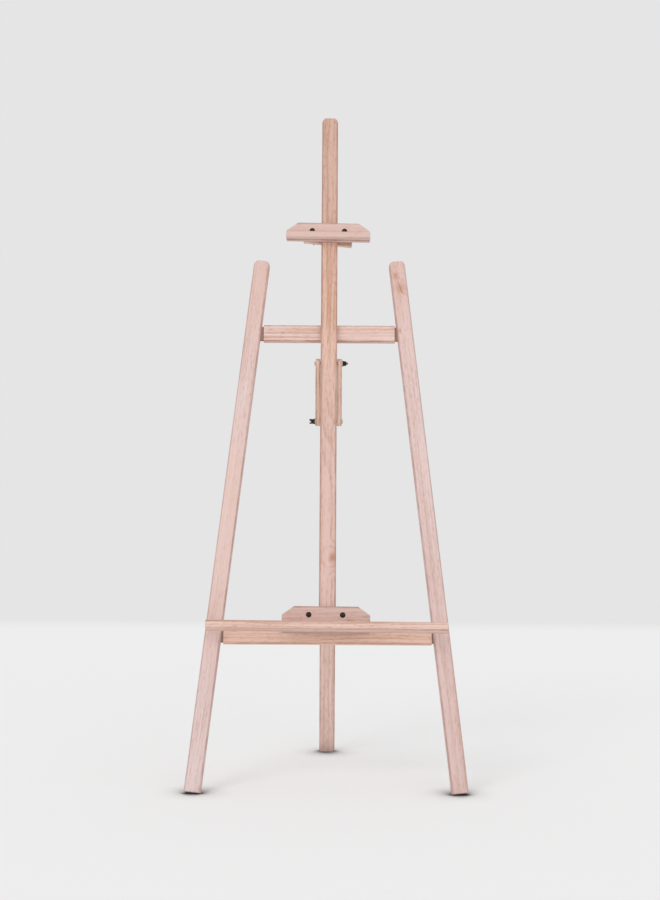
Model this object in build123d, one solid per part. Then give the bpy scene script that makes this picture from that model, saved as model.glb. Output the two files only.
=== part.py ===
from build123d import *
import math
import os

# Folding wooden A-frame easel.
#
# Frame coordinates: the front frame is drawn standing upright and is then leaned back
# about the X axis and raised by FRAME_RISE. X runs across the easel, Y from the front face
# of the legs to the back, and Z up the frame. The rear leg is drawn hanging straight down
# from the upper bolt and is then swung back about it.
# Part coordinates: +Z up, -Y to the front, origin on the floor under the middle.

# ---- Driving dimensions: millimetres and degrees ---------------------------------------
FRAME_LEAN = 15.0          # front frame, back from vertical
FRAME_RISE = 4.0           # frame origin above the floor
LEG_SPLAY = 6.26           # each front leg, from the centre line
LEG_FLOOR_X = 271.6        # centre of a front leg level with the frame origin
LEG_TOP = 1143.0           # height of the leg tops up the frame
STICK_WIDTH = 35.0         # legs, mast and rear leg
LEG_DEPTH = 20.0
MAST_DEPTH = 18.0
REAR_LEG_DEPTH = 18.0
MAST_TOP = 1473.0
MAST_FOOT = 329.0          # the mast laps over the lower rail by its last few millimetres

BAR_HEIGHT = 36.5          # upper crossbar and lower rail
BAR_DEPTH = 16.0
BAR_RECESS = 2.0           # bars sit this far behind the legs' front faces
CROSSBAR_FOOT = 959.2
CROSSBAR_HALF_LENGTH = 141.6
CROSSBAR_OFFSET = 0.6      # the crossbar sits a little to the right
RAIL_FOOT = 303.3
RAIL_HALF_LENGTH = 215.8
RAIL_OFFSET = 0.7
TENON = (18.0, 8.0, 30.0)  # stub tenon on each bar end: length, thickness, height

HINGE_BOLT_HEIGHT = 912.5  # upper bolt, up the frame
HINGE_BOLT_SETBACK = 13.0  # upper bolt, behind the legs' front faces
HINGE_BLOCK_WIDTH = 34.6
HINGE_BLOCK_DEPTH = 22.0
HINGE_BLOCK_DROP = 12.0    # block below the bolt's axis
HINGE_BLOCK_ROUNDING = 2.0

REAR_LEG_LEAN = 16.1       # rear leg and links, back from vertical, as set up for use
LINK_BOLT_SPACING = 130.0
LINK_DEPTH = 20.0
LINK_THICKNESS = 10.5
LINK_ROUNDING = 1.8
LINK_SIDE_GAP = 0.5        # between the rear leg and each link
LINK_NUT_TURN = 75.0       # how far round each cross bolt's wing nut was left
PIVOT_NUT_TURN = 125.0

PLATE_WIDTH = 182.0        # front plates of the tray and the top holder
PLATE_THICKNESS = 12.0
PLATE_CORNER = (25.0, 18.0)
PLATE_FOOT_CURVE = 3.0     # corners of a plate's outline, at its foot and higher up
PLATE_TOP_CURVE = 5.0
PLATE_ROUNDING = 1.6       # edges of every plate
PLATE_BOLT_SPACING = 70.0
CLAMP_PLATE_WIDTH = 106.0
CLAMP_PLATE_HEIGHT = 35.0
SLIDING_GAP = 0.1          # each plate, off the mast

TRAY_FOOT = 322.3
TRAY_PLATE_HEIGHT = 54.9
TRAY_BOLT_HEIGHT = 359.3
TRAY_PLATE_OFFSET = -2.6   # to the left of the mast's centre line
TRAY_BOLT_OFFSET = -3.2
TRAY_TILT = 0.35           # the sliding pieces were clamped a little out of square
LEDGE_LENGTH = 494.5
LEDGE_OFFSET = -0.8
LEDGE_HEIGHT = 19.5
LEDGE_DEPTH = 38.0
LEDGE_ROUNDING = 8.0
LEDGE_SCREW_LENGTH = 31.0
TOP_HOLDER_FOOT = 1179.7
TOP_PLATE_HEIGHT = 40.0
TOP_BOLT_HEIGHT = 1201.4
TOP_HOLDER_OFFSET = -2.5
TOP_HOLDER_TILT = 0.8
TOP_CLAMP_DROP = 1.6       # the top clamp plate was drilled this much off its middle
TOP_CLAMP_TILT = 4.8
LIP_HEIGHT = 16.4
LIP_DEPTH = 15.0
LIP_ROUNDING = 5.5
LIP_SCREW_LENGTH = 22.0
SHELF_SCREW_SPACING = 132.0
TRAY_NUT_TURNS = (25.0, -20.0)
TOP_NUT_TURNS = (-15.0, 40.0)

EDGE_ROUNDING = 5.0        # long edges of the big sticks
SMALL_ROUNDING = 3.0       # long edges of the slimmer pieces
END_ROUNDING = 2.5         # square-cut stick ends
BAR_END_ROUNDING = 1.5
TENON_ROUNDING = 1.0
TOP_ROUNDING = 12.5        # rounded tops of the legs and the mast
REAR_TOP_ROUNDING = 4.0    # sides of the rear leg's round end
FOOT_FLAT = 2.4            # depth that wear has taken off each foot's lowest corner

BOLT_RADIUS = 3.0          # M6
BOLT_HEAD_RADIUS = 5.8
BOLT_HEAD_HEIGHT = 3.0
BOLT_NECK = (6.0, 4.0)     # square neck under the head: side and length
WASHER_RADIUS = 7.5
WASHER_THICKNESS = 1.2
NUT_HEIGHT = 8.0
BOLT_TAIL = 3.0            # thread past the nut
SCREW_RADIUS = 2.0
SCREW_HEAD_RADIUS = 4.0
SCREW_HEAD_HEIGHT = 2.4
SCREW_SINK = 0.6           # heads below a leg's outer face
SCREW_BITE = 11.0          # how far a screw goes into the last piece it holds
PAIR_SPACING = 18.0        # between the two screws of a pair
MAST_FOOT_SCREW_RISE = 5.2
BLOCK_SCREW_RISES = (16.0, 36.0)
RUNNING_GAP = 0.06         # a bolt in the hole that turns on it
FIT_GAP = 0.05             # a screw, tenon or neck in its hole
NUT_GAP = 0.03             # a wing nut off its washer

# ---- Worked-out dimensions ---------------------------------------------------------------
BAR_BACK = BAR_RECESS + BAR_DEPTH
MAST_BACK = BAR_RECESS
MAST_FRONT = MAST_BACK - MAST_DEPTH
PLATE_BACK = MAST_FRONT - SLIDING_GAP
PLATE_FRONT = PLATE_BACK - PLATE_THICKNESS
CLAMP_FRONT = MAST_BACK + SLIDING_GAP
CLAMP_BACK = CLAMP_FRONT + PLATE_THICKNESS
LINK_INNER = STICK_WIDTH / 2 + LINK_SIDE_GAP
LINK_OUTER = LINK_INNER + LINK_THICKNESS
SPLAY_SLOPE = math.tan(math.radians(LEG_SPLAY))


def cosine(degrees):
    return math.cos(math.radians(degrees))


def sine(degrees):
    return math.sin(math.radians(degrees))


# ---- Shapes shared by several pieces -------------------------------------------------------
def softened_outline(width, low, high, low_radius, high_radius):
    """A rectangle from low to high with its own corner radius at each end."""
    outline = Pos(0, (low + high) / 2) * Rectangle(width, high - low)
    outline = fillet(outline.vertices().group_by(Axis.Y)[-1], high_radius)
    return fillet(outline.vertices().group_by(Axis.Y)[0], low_radius)


def stick(width, depth, low, high, edge=EDGE_ROUNDING, end=END_ROUNDING, top=None):
    """A wooden stick along Z, with rounded long edges and softened ends."""
    body = Pos(0, 0, low) * extrude(RectangleRounded(width, depth, edge), high - low)
    front = softened_outline(width, low, high, end, top or end)
    side = softened_outline(depth, low, high, end, end)
    body &= extrude(Plane.XZ * front, depth, both=True)
    return body & extrude(Plane.YZ * side, width, both=True)


def bar(length, height, depth, edge=SMALL_ROUNDING):
    """A stick along X, centred on the origin."""
    return Rot(0, 90, 0) * stick(height, depth, -length / 2, length / 2, edge, BAR_END_ROUNDING)


def cylinder_between(start, direction, length, radius):
    """A cylinder that starts at a point and runs along a direction."""
    plane = Plane(origin=start, z_dir=direction)
    return extrude(plane * Circle(radius), length)


def placed(shape, start, direction):
    """Put a fastener drawn along +Z at a point, running along a direction."""
    return Plane(origin=start, z_dir=direction).location * shape


# ---- Fasteners, drawn from the head at z = 0 along +Z --------------------------------------
def screw(length, slack=0.0):
    """A countersunk screw with a cross recess; with slack it is the hole it needs."""
    head = Pos(0, 0, SCREW_HEAD_HEIGHT / 2) * Cone(
        SCREW_HEAD_RADIUS + slack, SCREW_RADIUS + slack, SCREW_HEAD_HEIGHT)
    shank = extrude(Circle(SCREW_RADIUS + slack), length + slack)
    if slack:
        mouth = Pos(0, 0, -SCREW_HEAD_HEIGHT) * extrude(
            Circle(SCREW_HEAD_RADIUS + slack), SCREW_HEAD_HEIGHT)
        return head + shank + mouth
    recess_width = 0.9
    recess_depth = 1.4
    arm = Box(SCREW_HEAD_RADIUS, recess_width, 2 * recess_depth)
    return head + shank - arm - Rot(0, 0, 90) * arm


def bolt(grip):
    """A carriage bolt through a stack of this grip, with room for washer and nut."""
    length = grip + WASHER_THICKNESS + NUT_HEIGHT + BOLT_TAIL
    dome_radius = (BOLT_HEAD_RADIUS**2 + BOLT_HEAD_HEIGHT**2) / (2 * BOLT_HEAD_HEIGHT)
    dome = Pos(0, 0, dome_radius - BOLT_HEAD_HEIGHT) * Sphere(dome_radius)
    cap = extrude(Circle(2 * BOLT_HEAD_RADIUS), -2 * BOLT_HEAD_HEIGHT)
    side, neck = BOLT_NECK
    tip_chamfer = 0.6
    shank = extrude(Circle(BOLT_RADIUS), length)
    shank = chamfer(shank.edges().sort_by(Axis.Z)[-1], tip_chamfer)
    return (dome & cap) + shank + extrude(Rectangle(side, side), neck)


def bolt_neck_pocket():
    """The square socket that keeps a bolt's neck from turning."""
    side, neck = BOLT_NECK
    return extrude(Rectangle(side + 2 * FIT_GAP, side + 2 * FIT_GAP), neck + FIT_GAP)


def washer():
    ring = Circle(WASHER_RADIUS) - Circle(BOLT_RADIUS + RUNNING_GAP)
    return extrude(ring, WASHER_THICKNESS)


def wing_nut(turn):
    """A wing nut with its base at z = 0, its wings turned by an angle."""
    base_radius = 6.0
    tip_radius = 4.6
    wing_width = 6.4
    wing_thickness = 2.2
    wing_rounding = 0.7
    hub = Pos(0, 0, NUT_HEIGHT / 2) * Cone(base_radius, tip_radius, NUT_HEIGHT)
    wing = SlotCenterPoint(center=(7.0, 6.0), point=(11.0, 8.8), height=wing_width)
    wing = extrude(Plane.XZ * wing, wing_thickness / 2, both=True)
    wing = fillet(wing.edges(), wing_rounding)
    nut = hub + wing + Rot(0, 0, 180) * wing
    nut -= extrude(Circle(BOLT_RADIUS + RUNNING_GAP), 2 * NUT_HEIGHT)
    return Rot(0, 0, turn) * nut


# ---- Front frame ---------------------------------------------------------------------------
def leg_centre(height):
    """X of a front leg's centre line at a height up the frame."""
    return LEG_FLOOR_X - height * SPLAY_SLOPE


def lowest_corner_reach():
    """How far a front leg's section reaches down past its centre at the floor."""
    across = sine(LEG_SPLAY) * cosine(FRAME_LEAN)
    back = sine(FRAME_LEAN)
    flat_across = (STICK_WIDTH / 2 - EDGE_ROUNDING) * across
    flat_back = (LEG_DEPTH / 2 - EDGE_ROUNDING) * back
    return flat_across + flat_back + EDGE_ROUNDING * math.hypot(across, back)


def leg_foot():
    """Where a leg's square cut must be for its lowest corner to just pass the floor."""
    centre_rise = LEG_DEPTH / 2 * sine(FRAME_LEAN) + lowest_corner_reach() - FOOT_FLAT
    return (centre_rise - FRAME_RISE) / (cosine(LEG_SPLAY) * cosine(FRAME_LEAN))


def bar_screw_set(slack=0.0):
    """Screws through the legs' outer faces and the tenons into both bars."""
    screws = []
    bars = ((CROSSBAR_HALF_LENGTH, CROSSBAR_FOOT), (RAIL_HALF_LENGTH, RAIL_FOOT))
    for half_length, foot in bars:
        height = foot + BAR_HEIGHT / 2
        outer = leg_centre(height) + STICK_WIDTH / 2 / cosine(LEG_SPLAY) - SCREW_SINK
        for side in (-1, 1):
            start = (side * outer, LEG_DEPTH / 2, height)
            piece = screw(outer - half_length + SCREW_BITE, slack)
            screws.append(placed(piece, start, (-side, 0, 0)))
    return screws


def tenons(half_length, foot, offset, slack=0.0):
    """The stub tenons of one bar; with slack they are the mortises they need."""
    length, thickness, height = TENON
    pieces = []
    for side in (-1, 1):
        tenon = Box(length + 2 * slack, thickness + 2 * slack, height + 2 * slack)
        if not slack:
            tip = tenon.edges().group_by(Axis.X)[-1 if side > 0 else 0]
            tenon = fillet(tip, TENON_ROUNDING)
        x = offset + side * (half_length + length / 2)
        place = (x, LEG_DEPTH / 2, foot + BAR_HEIGHT / 2)
        pieces.append(Pos(place) * tenon)
    return pieces


def mast_screw_set(slack=0.0):
    """Screws through the backs of both bars into the mast."""
    length = BAR_DEPTH + SCREW_BITE
    pair = (-PAIR_SPACING / 2, PAIR_SPACING / 2)
    places = [(0, CROSSBAR_FOOT + BAR_HEIGHT / 2 + rise) for rise in pair]
    places += [(across, MAST_FOOT + MAST_FOOT_SCREW_RISE) for across in pair]
    return [placed(screw(length, slack), (x, BAR_BACK, z), (0, -1, 0)) for x, z in places]


def block_screw_set(slack=0.0):
    """Screws through the hinge block into the mast."""
    length = HINGE_BLOCK_DEPTH + SCREW_BITE
    back = MAST_BACK + HINGE_BLOCK_DEPTH
    places = [(0, back, HINGE_BOLT_HEIGHT + rise) for rise in BLOCK_SCREW_RISES]
    return [placed(screw(length, slack), place, (0, -1, 0)) for place in places]


def make_leg(side, cutters):
    leg = stick(STICK_WIDTH, LEG_DEPTH, leg_foot(), LEG_TOP / cosine(LEG_SPLAY), top=TOP_ROUNDING)
    leg = Rot(0, -side * LEG_SPLAY, 0) * leg
    leg = Pos(side * LEG_FLOOR_X, LEG_DEPTH / 2, 0) * leg
    for cutter in cutters:
        leg -= cutter
    return leg


def make_bar(half_length, foot, offset, cutters):
    middle = foot + BAR_HEIGHT / 2
    piece = bar(2 * half_length, BAR_HEIGHT, BAR_DEPTH)
    piece = Pos(offset, BAR_RECESS + BAR_DEPTH / 2, middle) * piece
    for tenon in tenons(half_length, foot, offset):
        piece += tenon
    for cutter in cutters:
        piece -= cutter
    return piece


def make_mast(cutters):
    mast = stick(STICK_WIDTH, MAST_DEPTH, MAST_FOOT, MAST_TOP, top=TOP_ROUNDING)
    mast = Pos(0, (MAST_FRONT + MAST_BACK) / 2, 0) * mast
    for cutter in cutters:
        mast -= cutter
    return mast


def make_hinge_block(cutters):
    foot = HINGE_BOLT_HEIGHT - HINGE_BLOCK_DROP
    height = CROSSBAR_FOOT - foot
    middle = Pos(0, MAST_BACK + HINGE_BLOCK_DEPTH / 2, foot + height / 2)
    block = Box(HINGE_BLOCK_WIDTH, HINGE_BLOCK_DEPTH, height)
    block = middle * fillet(block.edges().group_by(Axis.Y)[-1], HINGE_BLOCK_ROUNDING)
    start = (-STICK_WIDTH / 2, HINGE_BOLT_SETBACK, HINGE_BOLT_HEIGHT)
    block -= cylinder_between(start, (1, 0, 0), STICK_WIDTH, BOLT_RADIUS + RUNNING_GAP)
    for cutter in cutters:
        block -= cutter
    return block


def front_frame():
    screw_holes = bar_screw_set(FIT_GAP)
    mast_holes = mast_screw_set(FIT_GAP)
    block_holes = block_screw_set(FIT_GAP)
    crossbar = (CROSSBAR_HALF_LENGTH, CROSSBAR_FOOT, CROSSBAR_OFFSET)
    rail = (RAIL_HALF_LENGTH, RAIL_FOOT, RAIL_OFFSET)
    leg_holes = screw_holes + tenons(*crossbar, FIT_GAP) + tenons(*rail, FIT_GAP)
    left_holes = [hole for hole in leg_holes if hole.center().X < 0]
    right_holes = [hole for hole in leg_holes if hole.center().X > 0]
    crossbar_holes = [hole for hole in screw_holes + mast_holes if hole.center().Z > LEG_TOP / 2]
    rail_holes = [hole for hole in screw_holes + mast_holes if hole.center().Z < LEG_TOP / 2]
    return {
        "left_leg": make_leg(-1, left_holes),
        "right_leg": make_leg(1, right_holes),
        "upper_crossbar": make_bar(*crossbar, crossbar_holes),
        "lower_rail": make_bar(*rail, rail_holes),
        "crossbar_screws": Compound(children=bar_screw_set()),
        "mast": make_mast(mast_holes + block_holes),
        "mast_screws": Compound(children=mast_screw_set()),
        "hinge_block": make_hinge_block(block_holes),
        "hinge_block_screws": Compound(children=block_screw_set()),
    }


# ---- Tray and top holder, which slide on the mast -------------------------------------------
def chamfered_plate(height):
    """A front plate in the XZ plane, foot at z = 0, its front face at y = 0."""
    half = PLATE_WIDTH / 2
    corner_x, corner_z = PLATE_CORNER
    points = [(-half, 0), (half, 0), (half, height - corner_z), (half - corner_x, height)]
    points += [(corner_x - half, height), (-half, height - corner_z)]
    outline = make_face(Polyline(*points, close=True))
    outline = fillet(outline.vertices().group_by(Axis.Y)[0], PLATE_FOOT_CURVE)
    outline = fillet(outline.vertices().sort_by(Axis.Y)[-4:], PLATE_TOP_CURVE)
    plate = extrude(Plane.XZ * outline, -PLATE_THICKNESS)
    rims = plate.edges().group_by(Axis.Y)
    return fillet(rims[0] + rims[-1], PLATE_ROUNDING)


def clamp_bolt_holes(offset, height):
    """Bolt holes and neck pockets through a front plate and its clamp plate."""
    holes = []
    for side in (-1, 1):
        start = (offset + side * PLATE_BOLT_SPACING / 2, PLATE_FRONT, height)
        length = CLAMP_BACK - PLATE_FRONT
        holes.append(cylinder_between(start, (0, 1, 0), length, BOLT_RADIUS + RUNNING_GAP))
        holes.append(placed(bolt_neck_pocket(), start, (0, 1, 0)))
    return holes


def clamp_hardware(name, offset, bolt_height, nut_turns):
    """Bolts, washers and wing nuts that draw the two plates onto the mast."""
    bolts = []
    washers = []
    nodes = {}
    for side, label, turn in ((-1, "left", nut_turns[0]), (1, "right", nut_turns[1])):
        x = offset + side * PLATE_BOLT_SPACING / 2
        bolts.append(placed(bolt(CLAMP_BACK - PLATE_FRONT), (x, PLATE_FRONT, bolt_height), (0, 1, 0)))
        washers.append(placed(washer(), (x, CLAMP_BACK, bolt_height), (0, 1, 0)))
        nut_base = (x, CLAMP_BACK + WASHER_THICKNESS + NUT_GAP, bolt_height)
        nodes[f"{name}_wing_nut_{label}"] = placed(wing_nut(turn), nut_base, (0, 1, 0))
    nodes[f"{name}_bolts"] = Compound(children=bolts)
    nodes[f"{name}_washers"] = Compound(children=washers)
    return nodes


def shelf_screws(offset, height, length, slack=0.0):
    """Screws from behind a front plate into the ledge or lip on its front."""
    half = SHELF_SCREW_SPACING / 2
    places = [(offset + side * half, PLATE_BACK, height) for side in (-1, 1)]
    return [placed(screw(length, slack), place, (0, -1, 0)) for place in places]


def clamp_plate(offset, bolt_height, drop, tilt):
    """The plain plate behind the mast, drawn a little low or tilted on its bolts."""
    plate = Box(CLAMP_PLATE_WIDTH, PLATE_THICKNESS, CLAMP_PLATE_HEIGHT)
    plate = Rot(0, tilt, 0) * fillet(plate.edges(), PLATE_ROUNDING)
    return Pos(offset, CLAMP_FRONT + PLATE_THICKNESS / 2, bolt_height - drop) * plate


def slider(name, plate, clamp, shelf_name, shelf, offset, bolt_height, screws, tilt, nut_turns):
    """Front plate with a shelf piece on it, clamped to the mast by a plate behind."""
    for hole in clamp_bolt_holes(offset, bolt_height):
        plate -= hole
        clamp -= hole
    for hole in shelf_screws(offset, *screws, FIT_GAP):
        plate -= hole
        shelf -= hole
    nodes = {
        f"{name}_plate": plate,
        shelf_name: shelf,
        f"{name}_clamp_plate": clamp,
        f"{name}_screws": Compound(children=shelf_screws(offset, *screws)),
    }
    nodes.update(clamp_hardware(name, offset, bolt_height, nut_turns))
    tilted = Pos(0, 0, bolt_height) * Rot(0, tilt, 0) * Pos(0, 0, -bolt_height)
    return {node: tilted * piece for node, piece in nodes.items()}


def tray():
    middle = TRAY_FOOT + LEDGE_HEIGHT / 2
    plate = Pos(TRAY_PLATE_OFFSET, PLATE_FRONT, TRAY_FOOT) * chamfered_plate(TRAY_PLATE_HEIGHT)
    clamp = clamp_plate(TRAY_BOLT_OFFSET, TRAY_BOLT_HEIGHT, 0.0, 0.0)
    ledge = bar(LEDGE_LENGTH, LEDGE_HEIGHT, LEDGE_DEPTH, LEDGE_ROUNDING)
    ledge = Pos(LEDGE_OFFSET, PLATE_FRONT - LEDGE_DEPTH / 2, middle) * ledge
    return slider("tray", plate, clamp, "tray_ledge", ledge, TRAY_BOLT_OFFSET, TRAY_BOLT_HEIGHT,
                  (middle, LEDGE_SCREW_LENGTH), TRAY_TILT, TRAY_NUT_TURNS)


def top_holder():
    middle = TOP_HOLDER_FOOT + LIP_HEIGHT / 2
    plate = Pos(TOP_HOLDER_OFFSET, PLATE_FRONT, TOP_HOLDER_FOOT) * chamfered_plate(TOP_PLATE_HEIGHT)
    clamp = clamp_plate(TOP_HOLDER_OFFSET, TOP_BOLT_HEIGHT, TOP_CLAMP_DROP, TOP_CLAMP_TILT)
    lip = bar(PLATE_WIDTH, LIP_HEIGHT, LIP_DEPTH, LIP_ROUNDING)
    lip = Pos(TOP_HOLDER_OFFSET, PLATE_FRONT - LIP_DEPTH / 2, middle) * lip
    return slider("top", plate, clamp, "top_lip", lip, TOP_HOLDER_OFFSET, TOP_BOLT_HEIGHT,
                  (middle, LIP_SCREW_LENGTH), TOP_HOLDER_TILT, TOP_NUT_TURNS)


# ---- Rear leg, drawn hanging from the upper bolt at the origin -------------------------------
def link_slat(side, bolt_side):
    """One link; the slat on a bolt's head side has a pocket for its square neck."""
    slat = SlotOverall(LINK_BOLT_SPACING + LINK_DEPTH, LINK_DEPTH)
    slat = extrude(slat, LINK_THICKNESS / 2, both=True)
    slat = Rot(0, 90, 0) * fillet(slat.edges(), LINK_ROUNDING)
    slat = Pos(side * (LINK_INNER + LINK_OUTER) / 2, 0, -LINK_BOLT_SPACING / 2) * slat
    for height, head_side in ((0, bolt_side), (-LINK_BOLT_SPACING, -bolt_side)):
        start = (-LINK_OUTER, 0, height)
        slat -= cylinder_between(start, (1, 0, 0), 2 * LINK_OUTER, BOLT_RADIUS + RUNNING_GAP)
        if side == head_side:
            outer = (side * LINK_OUTER, 0, height)
            slat -= placed(bolt_neck_pocket(), outer, (-side, 0, 0))
    return slat


def cross_bolt(name, height, head_side, turn):
    """Bolt, washer and wing nut across both links."""
    axis = (-head_side, 0, 0)
    head = (head_side * LINK_OUTER, 0, height)
    tail = (-head_side * LINK_OUTER, 0, height)
    nut_base = (-head_side * (LINK_OUTER + WASHER_THICKNESS + NUT_GAP), 0, height)
    return {
        f"{name}_bolt": placed(bolt(2 * LINK_OUTER), head, axis),
        f"{name}_washer": placed(washer(), tail, axis),
        f"{name}_wing_nut": placed(wing_nut(turn), nut_base, axis),
    }


def make_rear_leg(bolt_floor_height):
    """The rear leg, round-ended on its pivot, cut square just past the floor."""
    pivot = -LINK_BOLT_SPACING
    half_depth = REAR_LEG_DEPTH / 2
    corner_reach = (half_depth - END_ROUNDING / 2) * sine(REAR_LEG_LEAN)
    foot = -(bolt_floor_height - corner_reach + FOOT_FLAT) / cosine(REAR_LEG_LEAN)
    leg = stick(STICK_WIDTH, REAR_LEG_DEPTH, foot, pivot + half_depth, top=REAR_TOP_ROUNDING)
    below_pivot = Pos(0, 0, (foot + pivot) / 2) * Box(STICK_WIDTH, REAR_LEG_DEPTH, pivot - foot)
    round_end = cylinder_between((-STICK_WIDTH / 2, 0, pivot), (1, 0, 0), STICK_WIDTH, half_depth)
    leg &= below_pivot + round_end
    start = (-STICK_WIDTH / 2, 0, pivot)
    return leg - cylinder_between(start, (1, 0, 0), STICK_WIDTH, BOLT_RADIUS + RUNNING_GAP)


def rear_assembly(bolt_floor_height):
    nodes = {
        "link_left": link_slat(-1, -1),
        "link_right": link_slat(1, -1),
        "rear_leg": make_rear_leg(bolt_floor_height),
    }
    nodes.update(cross_bolt("link", 0, -1, LINK_NUT_TURN))
    nodes.update(cross_bolt("pivot", -LINK_BOLT_SPACING, 1, PIVOT_NUT_TURN))
    return nodes


# ---- Assembly --------------------------------------------------------------------------------
def leaned(shape):
    return Pos(0, 0, FRAME_RISE) * Rot(-FRAME_LEAN, 0, 0) * shape


def trimmed_at_floor(shape):
    """Take off what reaches below the floor, which leaves a small flat on a foot."""
    slab = Box(4 * LEG_FLOOR_X, 4 * LEG_TOP, LEG_DEPTH)
    return shape - Pos(0, 0, -LEG_DEPTH / 2) * slab


def assemble():
    bolt_y = HINGE_BOLT_SETBACK * cosine(FRAME_LEAN) + HINGE_BOLT_HEIGHT * sine(FRAME_LEAN)
    bolt_z = HINGE_BOLT_HEIGHT * cosine(FRAME_LEAN) - HINGE_BOLT_SETBACK * sine(FRAME_LEAN)
    bolt_z += FRAME_RISE
    nodes = {}
    for group in (front_frame(), tray(), top_holder()):
        nodes.update({name: leaned(shape) for name, shape in group.items()})
    swing = Pos(0, bolt_y, bolt_z) * Rot(REAR_LEG_LEAN, 0, 0)
    nodes.update({name: swing * shape for name, shape in rear_assembly(bolt_z).items()})
    for name in ("left_leg", "right_leg", "rear_leg"):
        nodes[name] = trimmed_at_floor(nodes[name])
    return nodes, bolt_y, bolt_z


def main():
    nodes, bolt_y, bolt_z = assemble()
    boxes = [shape.bounding_box() for shape in nodes.values()]
    front = min(box.min.Y for box in boxes)
    back = max(box.max.Y for box in boxes)
    floor = min(box.min.Z for box in boxes)
    to_origin = Pos(0, -(front + back) / 2, -floor)
    os.makedirs("parts", exist_ok=True)
    for name, shape in nodes.items():
        export_step(to_origin * shape, f"parts/{name}.step")
    shift = -(front + back) / 2
    pivot_y = bolt_y + LINK_BOLT_SPACING * sine(REAR_LEG_LEAN)
    pivot_z = bolt_z - LINK_BOLT_SPACING * cosine(REAR_LEG_LEAN)
    print("nodes", len(nodes), "y shift", round(shift, 3), "floor", round(floor, 4))
    print("upper bolt y, z", round(bolt_y + shift, 3), round(bolt_z - floor, 3))
    print("lower bolt y, z", round(pivot_y + shift, 3), round(pivot_z - floor, 3))


main()
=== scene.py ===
import math

import bpy
from mathutils import Matrix, Vector


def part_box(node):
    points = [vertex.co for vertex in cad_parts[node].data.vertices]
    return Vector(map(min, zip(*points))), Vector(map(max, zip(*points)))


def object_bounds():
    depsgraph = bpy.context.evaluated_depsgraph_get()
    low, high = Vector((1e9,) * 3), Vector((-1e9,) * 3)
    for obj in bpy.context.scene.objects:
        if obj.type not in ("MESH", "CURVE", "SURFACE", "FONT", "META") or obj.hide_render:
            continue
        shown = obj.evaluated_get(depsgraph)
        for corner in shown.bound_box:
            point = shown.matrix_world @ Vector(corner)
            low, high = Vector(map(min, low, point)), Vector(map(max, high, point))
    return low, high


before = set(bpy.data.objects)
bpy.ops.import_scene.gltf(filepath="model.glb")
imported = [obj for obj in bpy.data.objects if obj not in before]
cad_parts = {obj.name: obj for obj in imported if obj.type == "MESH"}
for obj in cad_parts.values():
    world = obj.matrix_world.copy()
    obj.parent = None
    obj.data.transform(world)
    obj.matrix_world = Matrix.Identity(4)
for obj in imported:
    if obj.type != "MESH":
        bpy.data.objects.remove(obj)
cad_low, cad_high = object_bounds()

# ---- The object's geometry, as the frame holds it ------------------------------------------
FRAME_LEAN = math.radians(15.0)        # front frame, back from vertical
LEG_SPLAY = math.radians(6.26)         # each front leg, from the centre line
REAR_LEAN = math.radians(16.1)         # rear leg and links, back from vertical
STICK_WIDTH = 0.035

# ---- Camera and room -----------------------------------------------------------------------
CAMERA_DISTANCE = 3.613                # from the front feet
CAMERA_HEIGHT = 0.7365
CAMERA_SIDE = 0.007
CAMERA_PITCH = math.radians(-0.607)
CAMERA_YAW = math.radians(0.05)
CAMERA_ROLL = math.radians(0.32)
CAMERA_LENS = 71.6
SENSOR_WIDTH = 36.0
FLOOR_SOLID_REACH = 2.72               # the floor fades out beyond this distance
FLOOR_REACH = 3.12
FLOOR_COLOUR = (0.93, 0.93, 0.93)
# Painted contact shadow on the floor: its colour, and how near a piece has to stand to cast it.
PAINTED_CONTACT_SHADOW_COLOUR = (0.10, 0.09, 0.09)
PAINTED_CONTACT_SHADOW_REACH = 0.075                  # how near a piece has to stand for the painted contact shadow on the floor
WORLD_STRENGTH = 0.783
# Name, direction the light comes from, strength, spread in degrees.
SUNS = (
    ("key", (-0.9, -1.5, 1.5), 0.50, 25),
    ("fill", (0.8, -1.8, 0.7), 0.20, 40),
    ("low", (0.3, -1.8, 0.05), 0.36, 45),
)

# ---- Grain of the wood and of the metal -----------------------------------------------------
# Noise cycles per metre: two numbers across the grain, then one along it.
WANDER_GRAIN = (9.0, 9.0, 1.6)
RIPPLE_GRAIN = (60.0, 60.0, 5.0)
FIBRE_GRAIN = (900.0, 900.0, 14.0)
STREAK_GRAIN = (135.0, 135.0, 2.6)
FLECK_GRAIN = (420.0, 420.0, 75.0)
PORE_GRAIN = (1500.0, 1500.0, 60.0)
PATCH_GRAIN = (22.0, 22.0, 6.5)
HUE_GRAIN = (5.0, 5.0, 1.3)
# Noise that breaks the painted edge shade of the wood into patches.
EDGE_SHADE_GRAIN = (80.0, 80.0, 25.0)
SCRATCH_GRAIN = (3800.0, 420.0, 3800.0)
RING_WIDTH = 0.0075
WANDER_DEPTH = 0.060                   # how far the rings stray, from side to side
RIPPLE_DEPTH = 0.0036
KNOT_STRETCH = (1.0, 0.25, 0.70)       # a knot runs through the stick and along it
KNOT_COLOUR = (0.44, 0.185, 0.085)
# Painted shade in the gap where a bar's end meets a leg: its colour and the softness of its edge.
PAINTED_GAP_SHADE_COLOUR = (0.24, 0.115, 0.07)
PAINTED_GAP_SHADE_EDGE = 0.0006

BRONZE = (0.030, 0.022, 0.018)
WORN_BRONZE = (0.34, 0.29, 0.24)
ZINC = (0.42, 0.40, 0.37)
WORN_ZINC = (0.62, 0.60, 0.57)


def node_box_centre(name):
    low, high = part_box(name)
    return (low + high) / 2


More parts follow.
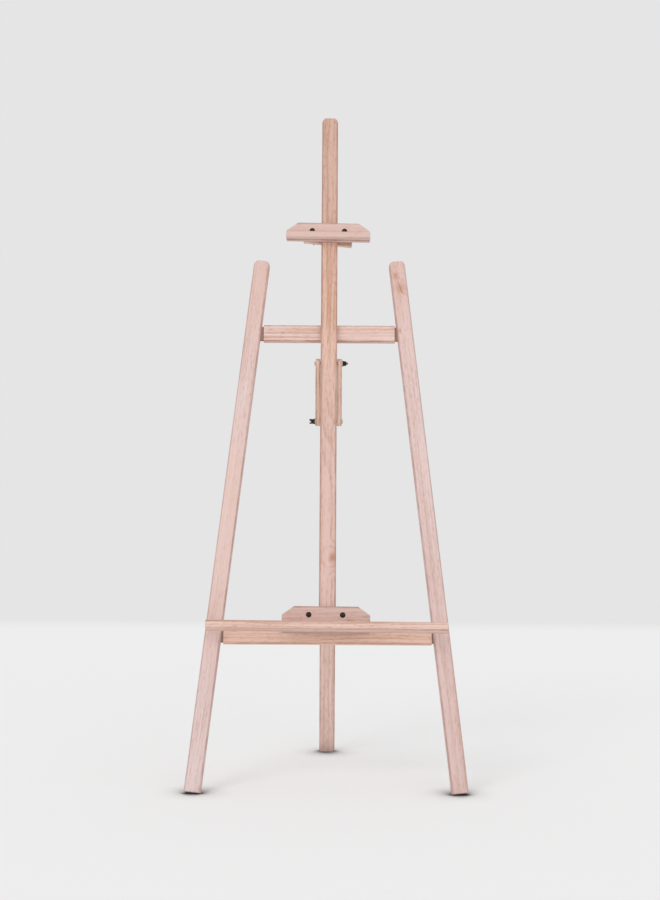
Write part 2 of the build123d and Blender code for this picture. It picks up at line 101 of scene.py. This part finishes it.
# ---- Node-tree helpers -----------------------------------------------------------------------
class Graph:
    """Short names for building one material's nodes."""

    def __init__(self, name):
        self.material = bpy.data.materials.new(name)
        self.material.use_nodes = True
        self.tree = self.material.node_tree
        self.tree.nodes.clear()

    def node(self, kind, **settings):
        made = self.tree.nodes.new(kind)
        for key, value in settings.items():
            setattr(made, key, value)
        return made

    def feed(self, socket, value):
        """Link a socket to a node's output, or set it to a constant."""
        if isinstance(value, bpy.types.NodeSocket):
            self.tree.links.new(value, socket)
        elif isinstance(value, (tuple, list)) and len(value) == 3 and socket.type == "RGBA":
            socket.default_value = (*value, 1.0)
        else:
            socket.default_value = value

    def math(self, operation, a, b=0.0, c=0.0):
        made = self.node("ShaderNodeMath", operation=operation)
        for socket, value in zip(made.inputs, (a, b, c)):
            self.feed(socket, value)
        return made.outputs[0]

    def vector_math(self, operation, a, b=(0, 0, 0)):
        made = self.node("ShaderNodeVectorMath", operation=operation)
        self.feed(made.inputs[0], a)
        self.feed(made.inputs[1], b)
        return made.outputs["Value" if operation in ("LENGTH", "DOT_PRODUCT") else "Vector"]

    def noise(self, vector, scale=1.0, detail=2.0, roughness=0.5):
        made = self.node("ShaderNodeTexNoise")
        self.feed(made.inputs["Vector"], vector)
        self.feed(made.inputs["Scale"], scale)
        self.feed(made.inputs["Detail"], detail)
        self.feed(made.inputs["Roughness"], roughness)
        return made.outputs["Fac"]

    def ramp(self, value, *stops):
        """Value through straight stops, each (position, grey)."""
        made = self.node("ShaderNodeValToRGB")
        elements = made.color_ramp.elements
        while len(elements) < len(stops):
            elements.new(0.5)
        for element, (position, grey) in zip(elements, stops):
            element.position = position
            element.color = (grey, grey, grey, 1.0)
        self.feed(made.inputs["Fac"], value)
        return made.outputs["Color"]

    def remap(self, value, low, high, out_low=0.0, out_high=1.0):
        made = self.node("ShaderNodeMapRange", interpolation_type="SMOOTHSTEP")
        for key, number in (("Value", value), ("From Min", low), ("From Max", high),
                            ("To Min", out_low), ("To Max", out_high)):
            self.feed(made.inputs[key], number)
        return made.outputs["Result"]

    def mix(self, factor, a, b, blend="MIX"):
        made = self.node("ShaderNodeMix", data_type="RGBA", blend_type=blend)
        self.feed(made.inputs["Factor"], factor)
        self.feed(made.inputs["A"], a)
        self.feed(made.inputs["B"], b)
        return made.outputs["Result"]

    def surface(self, colour, roughness, height, strength, distance, **constants):
        """Principled surface with bump; the constants go straight on its sockets."""
        bump = self.node("ShaderNodeBump")
        bump.inputs["Strength"].default_value = strength
        bump.inputs["Distance"].default_value = distance
        self.feed(bump.inputs["Height"], height)
        shader = self.node("ShaderNodeBsdfPrincipled")
        self.feed(shader.inputs["Base Color"], colour)
        self.feed(shader.inputs["Roughness"], roughness)
        self.feed(shader.inputs["Normal"], bump.outputs["Normal"])
        for key, value in constants.items():
            shader.inputs[key.replace("_", " ")].default_value = value
        output = self.node("ShaderNodeOutputMaterial")
        self.tree.links.new(shader.outputs["BSDF"], output.inputs["Surface"])
        return self.material


# ---- Wood --------------------------------------------------------------------------------------
def piece_space(centre, turns):
    """Matrix from the row frame to a piece's own space, with the grain along its Z."""
    rotation = Matrix.Identity(4)
    for angle, axis in turns:
        rotation = Matrix.Rotation(angle, 4, axis) @ rotation
    return (Matrix.Translation(centre) @ rotation).inverted()


def local_position(graph, space):
    """The surface point in the piece's own space, in metres."""
    source = graph.node("ShaderNodeTexCoord").outputs["Object"]
    rows = [Vector(space[i][:3]) for i in range(3)]
    combine = graph.node("ShaderNodeCombineXYZ")
    for i, row in enumerate(rows):
        along = graph.vector_math("DOT_PRODUCT", source, tuple(row))
        graph.feed(combine.inputs[i], graph.math("ADD", along, space[i][3]))
    return combine.outputs["Vector"]


def wood(name, space, tones, seed, pith=(0.055, 0.03), waviness=1.0, figure=1.0,
         knots=(), half=(STICK_WIDTH / 2, 0.010), gap_shade_beyond=None, filters=()):
    """Planed wood: growth rings about a distant pith, fibres, flecks, knots and end grain."""
    g = Graph(name)
    pale, dark = tones
    place = local_position(g, space)
    seeded = g.vector_math("ADD", place, (seed * 1.37, seed * 0.73, seed * 2.11))
    split = g.node("ShaderNodeSeparateXYZ")
    g.feed(split.inputs[0], place)
    x, y, z = split.outputs

    # Slow wander of the rings along and across the stick.
    stray = WANDER_DEPTH * waviness
    wander = g.noise(g.vector_math("MULTIPLY", seeded, WANDER_GRAIN), 1.0, 2.0, 0.5)
    wander = g.math("MULTIPLY_ADD", wander, stray, -stray / 2)
    ripple = g.noise(g.vector_math("MULTIPLY", seeded, RIPPLE_GRAIN), 1.0, 3.0, 0.55)
    ripple = g.math("MULTIPLY_ADD", ripple, RIPPLE_DEPTH, -RIPPLE_DEPTH / 2)

    # Distance from the pith gives the growth rings; a knot pushes them aside.
    pith_x, pith_y = pith
    across = g.node("ShaderNodeCombineXYZ")
    g.feed(across.inputs[0], g.math("ADD", x, pith_x))
    g.feed(across.inputs[1], g.math("ADD", y, pith_y))
    radius = g.vector_math("LENGTH", across.outputs["Vector"])
    radius = g.math("ADD", g.math("ADD", radius, wander), ripple)
    knot_mask = None
    for knot_x, knot_z, size in knots:
        offset = g.vector_math("SUBTRACT", place, (knot_x, 0.0, knot_z))
        offset = g.vector_math("MULTIPLY", offset, KNOT_STRETCH)
        distance = g.vector_math("LENGTH", offset)
        swirl = g.remap(distance, 0.0, size * 2.8, size * 1.7, 0.0)
        radius = g.math("ADD", radius, swirl)
        core = g.remap(distance, size * 0.15, size * 1.3, 1.0, 0.0)
        knot_mask = core if knot_mask is None else g.math("MAXIMUM", knot_mask, core)
    phase = g.math("FRACT", g.math("DIVIDE", radius, RING_WIDTH))
    rings = g.ramp(phase, (0.0, 0.10), (0.55, 0.22), (0.88, 0.95), (1.0, 0.10))

    # Fibres, broad streaks, short flecks and pores along the grain.
    fibre = g.noise(g.vector_math("MULTIPLY", seeded, FIBRE_GRAIN), 1.0, 3.0, 0.6)
    streak = g.noise(g.vector_math("MULTIPLY", seeded, STREAK_GRAIN), 1.0, 3.0, 0.62)
    fleck = g.noise(g.vector_math("MULTIPLY", seeded, FLECK_GRAIN), 1.0, 2.0, 0.55)
    flecks = g.remap(fleck, 0.50, 0.70)
    pore = g.noise(g.vector_math("MULTIPLY", seeded, PORE_GRAIN), 1.0, 1.0, 0.4)
    pores = g.remap(pore, 0.66, 0.74)
    patch = g.noise(g.vector_math("MULTIPLY", seeded, PATCH_GRAIN), 1.0, 3.0, 0.55)

    shade = g.math("MULTIPLY", rings, 0.40 * figure)
    shade = g.math("MULTIPLY_ADD", g.math("SUBTRACT", streak, 0.5), 1.7 * figure, shade)
    shade = g.math("MULTIPLY_ADD", g.math("SUBTRACT", fibre, 0.5), 0.5, shade)
    shade = g.math("MULTIPLY_ADD", g.math("SUBTRACT", patch, 0.5), 1.1, shade)
    shade = g.math("MULTIPLY_ADD", flecks, 0.50, shade)
    shade = g.math("MULTIPLY_ADD", pores, 0.30, shade)
    shade = g.remap(shade, -0.25, 1.05)
    colour = g.mix(shade, pale, dark)

    # Warm drift of hue along the stick.
    warm = tuple(c * f for c, f in zip(pale, (1.02, 0.93, 0.84)))
    hue = g.noise(g.vector_math("MULTIPLY", seeded, HUE_GRAIN), 1.0, 2.0, 0.5)
    colour = g.mix(g.remap(hue, 0.45, 0.72, 0.0, 0.5), colour, warm)
    if knot_mask is not None:
        ringed = g.math("MULTIPLY", knot_mask, g.math("MULTIPLY_ADD", rings, 0.70, 0.30))
        colour = g.mix(ringed, colour, KNOT_COLOUR)
    for start, end, filter_colour in filters:
        amount = g.remap(z, start, end)
        colour = g.mix(amount, colour, filter_colour, blend="MULTIPLY")
    # Painted shade in the joint gap: the bar's ends beyond this distance along the grain are
    # darkened.
    if gap_shade_beyond is not None:
        gap_shade = g.remap(g.math("ABSOLUTE", z), gap_shade_beyond - PAINTED_GAP_SHADE_EDGE,
                        gap_shade_beyond + PAINTED_GAP_SHADE_EDGE)
        colour = g.mix(g.math("MULTIPLY", gap_shade, 0.8), colour, PAINTED_GAP_SHADE_COLOUR)

    # Painted shade darkens the rounded arrises a little, in patches.
    half_x, half_y = half
    edge_x = g.remap(g.math("ABSOLUTE", x), half_x - 0.0048, half_x - 0.0010)
    edge_y = g.remap(g.math("ABSOLUTE", y), half_y - 0.0055, half_y - 0.0010)
    edge_shade_and_wear = g.math("MULTIPLY", edge_x, edge_y)
    wear_and_shade_patches = g.noise(g.vector_math("MULTIPLY", seeded, EDGE_SHADE_GRAIN), 1.0, 3.0, 0.6)
    edge_shade_and_wear = g.math("MULTIPLY", edge_shade_and_wear, g.remap(wear_and_shade_patches, 0.35, 0.65, 0.45, 1.0))
    # Colour of the painted shade on the rounded edges.
    painted_edge_shade_colour = tuple(c * f for c, f in zip(dark, (0.80, 0.74, 0.76)))
    colour = g.mix(edge_shade_and_wear, colour, painted_edge_shade_colour)

    # End grain soaks up more light.
    normal = g.node("ShaderNodeTexCoord").outputs["Normal"]
    axis = Vector(space[2][:3])
    facing = g.math("ABSOLUTE", g.vector_math("DOT_PRODUCT", normal, tuple(axis)))
    end = g.remap(facing, 0.72, 0.95)
    end_colour = g.mix(rings, tuple(c * 0.80 for c in pale), tuple(c * 0.72 for c in dark))
    colour = g.mix(g.math("MULTIPLY", end, 0.75), colour, end_colour)

    rough = g.math("MULTIPLY_ADD", fibre, 0.16, 0.50)
    rough = g.math("MULTIPLY_ADD", end, 0.18, rough)
    # The same edge mask makes the arrises a little smoother.
    rough = g.math("MULTIPLY_ADD", edge_shade_and_wear, -0.10, rough)
    height = g.math("MULTIPLY", fibre, 0.55)
    height = g.math("MULTIPLY_ADD", streak, 0.35, height)
    height = g.math("MULTIPLY_ADD", rings, 0.25, height)
    height = g.math("MULTIPLY_ADD", pores, -0.5, height)
    return g.surface(colour, rough, height, 0.30, 0.00035, Specular_IOR_Level=0.30)


# ---- Metal -------------------------------------------------------------------------------------
def metal(name, body_colour, worn_colour, roughness, seed):
    """Plated steel: cloudy plating, fine scratches, brighter rubbed spots."""
    g = Graph(name)
    place = g.node("ShaderNodeTexCoord").outputs["Object"]
    seeded = g.vector_math("ADD", place, (seed, seed * 0.6, seed * 1.7))
    cloud = g.noise(seeded, 260.0, 4.0, 0.6)
    scratch = g.noise(g.vector_math("MULTIPLY", seeded, SCRATCH_GRAIN), 1.0, 2.0, 0.5)
    grain = g.noise(seeded, 2600.0, 3.0, 0.6)
    wear_and_shade_patches = g.math("MULTIPLY", g.remap(cloud, 0.55, 0.75), g.remap(scratch, 0.4, 0.62))
    colour = g.mix(g.remap(cloud, 0.3, 0.7), body_colour, tuple(c * 1.5 for c in body_colour))
    colour = g.mix(g.math("MULTIPLY", wear_and_shade_patches, 0.55), colour, worn_colour)
    rough = g.math("MULTIPLY_ADD", cloud, 0.22, roughness - 0.08)
    rough = g.math("MULTIPLY_ADD", scratch, 0.10, rough)
    height = g.math("MULTIPLY_ADD", scratch, 0.5, grain)
    return g.surface(colour, rough, height, 0.18, 0.00012, Metallic=0.9, Specular_IOR_Level=0.5)


# ---- Give every CAD node its material --------------------------------------------------------
def assign(node, material):
    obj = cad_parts[node]
    obj.data.materials.clear()
    obj.data.materials.append(material)


# Pale and dark tone of the wood of each group of pieces.
LEG_TONES = ((0.735, 0.568, 0.54), (0.56, 0.37, 0.32))
REAR_TONES = ((0.77, 0.565, 0.51), (0.55, 0.35, 0.285))
MAST_TONES = ((0.705, 0.49, 0.44), (0.50, 0.29, 0.215))
CROSSBAR_TONES = ((0.77, 0.59, 0.56), (0.52, 0.30, 0.215))
RAIL_TONES = ((0.88, 0.62, 0.52), (0.62, 0.37, 0.26))
LEDGE_TONES = ((0.79, 0.565, 0.495), (0.52, 0.31, 0.235))
TRAY_PLATE_TONES = ((0.647, 0.47, 0.43), (0.46, 0.285, 0.235))
TOP_PLATE_TONES = ((0.70, 0.523, 0.49), (0.53, 0.352, 0.307))
SLAT_TONES = ((0.84, 0.625, 0.52), (0.60, 0.38, 0.28))

lean = (-FRAME_LEAN, "X")
sideways = (math.pi / 2, "Y")


def front_space(node, *turns):
    return piece_space(node_box_centre(node), (*turns, lean))


def dress_wood():
    stick = STICK_WIDTH / 2
    top_knots = ((0.002, 0.512, 0.013), (-0.006, 0.540, 0.008), (-0.013, 0.415, 0.006))
    for node, side, seed, knots, foot_colour in (
        ("left_leg", -1, 3.1, ((0.003, -0.062, 0.003),), (1.0, 1.04, 1.08)),
        ("right_leg", 1, 8.4, top_knots, (0.94, 0.89, 0.88)),
    ):
        space = front_space(node, (-side * LEG_SPLAY, "Y"))
        filters = ((0.25, 0.55, (0.95, 0.88, 0.84)), (-0.20, -0.42, foot_colour))
        assign(node, wood(node + "_wood", space, LEG_TONES, seed, knots=knots, figure=0.85,
                          filters=filters))
    assign("mast", wood("mast_wood", front_space("mast"), MAST_TONES, 5.6, pith=(-0.04, 0.05),
                        figure=1.2, waviness=2.0, half=(stick, 0.009),
                        filters=((-0.15, 0.08, (1.03, 0.985, 0.895)),
                                 (0.27, 0.33, (0.885, 0.885, 0.895))),
                        knots=((0.015, -0.42, 0.012), (-0.0165, 0.252, 0.003))))
    rear_space = piece_space(node_box_centre("rear_leg"), ((REAR_LEAN, "X"),))
    assign("rear_leg", wood("rear_leg_wood", rear_space, REAR_TONES, 1.9, pith=(0.03, 0.06),
                            figure=1.2, half=(stick, 0.009)))
    for node, seed in (("link_left", 12.3), ("link_right", 14.9)):
        space = piece_space(node_box_centre(node), ((REAR_LEAN, "X"),))
        assign(node, wood(node + "_wood", space, SLAT_TONES, seed, pith=(0.03, 0.05),
                          half=(0.00525, 0.010)))
    tray_knots = ((0.004, 0.048, 0.007),)
    # The last column: how far along the bar the painted shade at its ends begins.
    for node, seed, tones, half, figure, knots, gap_shade in (
        ("upper_crossbar", 21.7, CROSSBAR_TONES, (0.0183, 0.008), 1.9, (), 0.1415),
        ("lower_rail", 24.2, RAIL_TONES, (0.0183, 0.008), 1.2, (), 0.2157),
        ("tray_ledge", 27.5, LEDGE_TONES, (0.0097, 0.019), 1.3, (), None),
        ("top_lip", 31.4, TOP_PLATE_TONES, (0.0100, 0.0090), 0.7, (), None),
        ("tray_plate", 35.8, TRAY_PLATE_TONES, (0.0274, 0.006), 1.3, tray_knots, None),
        ("top_plate", 38.1, TOP_PLATE_TONES, (0.0200, 0.006), 0.8, (), None),
        ("tray_clamp_plate", 41.6, SLAT_TONES, (0.0175, 0.006), 1.1, (), None),
        ("top_clamp_plate", 44.9, SLAT_TONES, (0.0175, 0.006), 1.1, (), None),
    ):
        space = front_space(node, sideways)
        assign(node, wood(node + "_wood", space, tones, seed, half=half, figure=figure,
                          knots=knots, gap_shade_beyond=gap_shade))
    assign("hinge_block", wood("hinge_block_wood", front_space("hinge_block"), MAST_TONES, 51.2,
                               half=(0.0173, 0.011)))


CROSS_BOLT_PIECES = ("link_bolt", "pivot_bolt", "link_washer", "pivot_washer")


def dress_metal():
    for node in sorted(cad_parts):
        seed = 0.013 * len(node)
        if node.endswith("screws") or node in CROSS_BOLT_PIECES:
            assign(node, metal(node + "_zinc", ZINC, WORN_ZINC, 0.38, seed))
        elif "bolt" in node or "washer" in node or "wing_nut" in node:
            assign(node, metal(node + "_bronze", BRONZE, WORN_BRONZE, 0.36, seed))


# ---- Stage, light and camera -------------------------------------------------------------------
def floor_material():
    """Pale floor with a painted contact shadow where something stands close above it; it fades at
    its rim.
    """
    g = Graph("floor_paint")
    place = g.node("ShaderNodeTexCoord").outputs["Object"]
    mottle = g.noise(place, 0.4, 2.0)
    pale = g.mix(mottle, FLOOR_COLOUR, tuple(c * 0.995 for c in FLOOR_COLOUR))
    # Painted contact shadow: ambient occlusion darkens the floor's colour near anything standing
    # on it.
    near = g.node("ShaderNodeAmbientOcclusion", samples=12, only_local=False)
    near.inputs["Distance"].default_value = PAINTED_CONTACT_SHADOW_REACH
    painted_contact_shadow = g.remap(near.outputs["AO"], 0.60, 0.985, 0.92, 0.0)
    colour = g.mix(painted_contact_shadow, pale, PAINTED_CONTACT_SHADOW_COLOUR)
    diffuse = g.node("ShaderNodeBsdfDiffuse")
    g.feed(diffuse.inputs["Color"], colour)
    clear = g.node("ShaderNodeBsdfTransparent")
    split = g.node("ShaderNodeSeparateXYZ")
    g.feed(split.inputs[0], place)
    across, away = (g.math("ABSOLUTE", split.outputs[i]) for i in range(2))
    reach = g.math("MAXIMUM", across, away)
    fade = g.remap(reach, FLOOR_SOLID_REACH, FLOOR_REACH)
    blend = g.node("ShaderNodeMixShader")
    g.feed(blend.inputs[0], fade)
    g.feed(blend.inputs[1], diffuse.outputs["BSDF"])
    g.feed(blend.inputs[2], clear.outputs["BSDF"])
    output = g.node("ShaderNodeOutputMaterial")
    g.feed(output.inputs["Surface"], blend.outputs["Shader"])
    return g.material


def add_mesh(name, points, faces, material):
    mesh = bpy.data.meshes.new(name)
    mesh.from_pydata(points, [], faces)
    mesh.materials.append(material)
    obj = bpy.data.objects.new(name, mesh)
    bpy.context.scene.collection.objects.link(obj)
    return obj


def add_room():
    reach = FLOOR_REACH
    corners = [(-reach, -reach, 0), (reach, -reach, 0), (reach, reach, 0), (-reach, reach, 0)]
    add_mesh("floor", corners, [(0, 1, 2, 3)], floor_material())


def add_sun(name, source, strength, spread):
    """A distant soft light that shines from one direction on the whole room."""
    data = bpy.data.lights.new(name, "SUN")
    data.energy = strength
    data.angle = math.radians(spread)
    light = bpy.data.objects.new(name, data)
    light.rotation_euler = Vector(source).to_track_quat("Z", "Y").to_euler()
    bpy.context.scene.collection.objects.link(light)


def add_light():
    bpy.context.scene.view_settings.view_transform = "Standard"
    world = bpy.data.worlds.new("studio")
    world.use_nodes = True
    background = world.node_tree.nodes["Background"]
    background.inputs["Color"].default_value = (1.0, 1.0, 1.0, 1.0)
    background.inputs["Strength"].default_value = WORLD_STRENGTH
    bpy.context.scene.world = world
    for name, source, strength, spread in SUNS:
        add_sun(name, source, strength, spread)


def add_camera():
    data = bpy.data.cameras.new("camera")
    data.lens = CAMERA_LENS
    data.sensor_width = SENSOR_WIDTH
    camera = bpy.data.objects.new("camera", data)
    camera.location = (CAMERA_SIDE, cad_low.y - CAMERA_DISTANCE, CAMERA_HEIGHT)
    aim = Matrix.Rotation(CAMERA_YAW, 4, "Z") @ Matrix.Rotation(math.pi / 2 + CAMERA_PITCH, 4, "X")
    aim = aim @ Matrix.Rotation(CAMERA_ROLL, 4, "Z")
    camera.rotation_euler = aim.to_euler()
    bpy.context.scene.collection.objects.link(camera)
    bpy.context.scene.camera = camera


dress_wood()
dress_metal()
add_room()
add_light()
add_camera()
